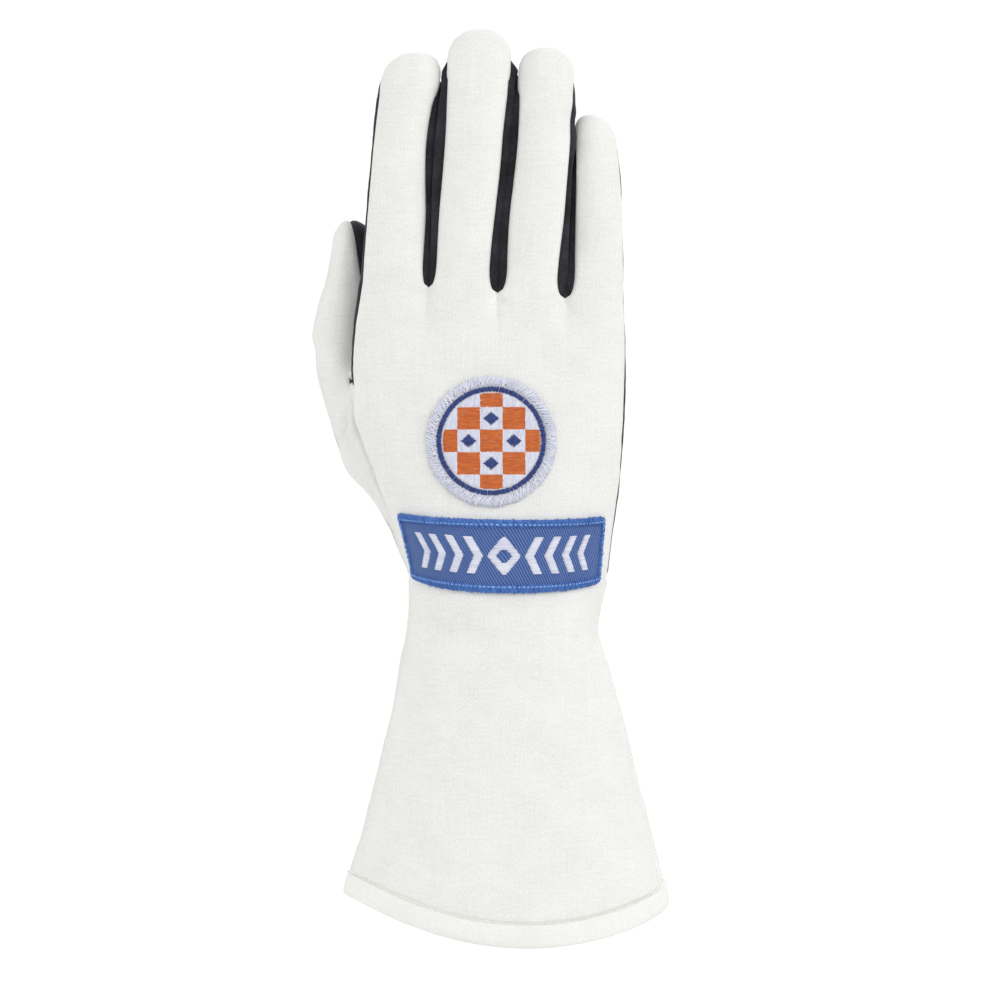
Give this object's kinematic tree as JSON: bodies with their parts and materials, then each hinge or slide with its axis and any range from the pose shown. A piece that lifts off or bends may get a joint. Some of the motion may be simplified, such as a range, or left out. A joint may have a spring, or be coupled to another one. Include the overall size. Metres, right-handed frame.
{
  "type": "racing glove",
  "caption": "Right-hand gauntlet racing glove in its worn form: white knit back, black suede palm and finger sides, long flared cuff with a hem, round and wrist-wide sewn patches, open hollow.",
  "frame": {"origin": "centre of the wrist's narrow section, in the middle of the hollow", "axes": "+Z from the wrist to the fingertips, +Y out of the palm side, +X from the thumb towards the little finger"},
  "size_m": [0.1293, 0.0786, 0.3276],
  "materials": {
    "white_knit": "matt fine rib knit",
    "black_suede": "matt brushed suede",
    "patch_satin": "satin embroidery thread",
    "white_thread": "overlocked thread",
    "blue_twill": "diagonal twill",
    "blue_thread": "overlocked thread with a sheen"
  },
  "bodies": {
    "root": {"back_panel": "white_knit", "palm_panel": "black_suede", "fourchette_index_middle": "black_suede", "fourchette_middle_ring": "black_suede", "fourchette_ring_little": "black_suede", "thumb_back": "white_knit", "thumb_front": "black_suede", "cuff_rear_panel": "white_knit", "hem": "white_knit", "round_patch": "patch_satin", "round_patch_border": "white_thread", "wrist_patch": "blue_twill", "wrist_patch_border": "blue_thread"}
  },
  "joints": []
}
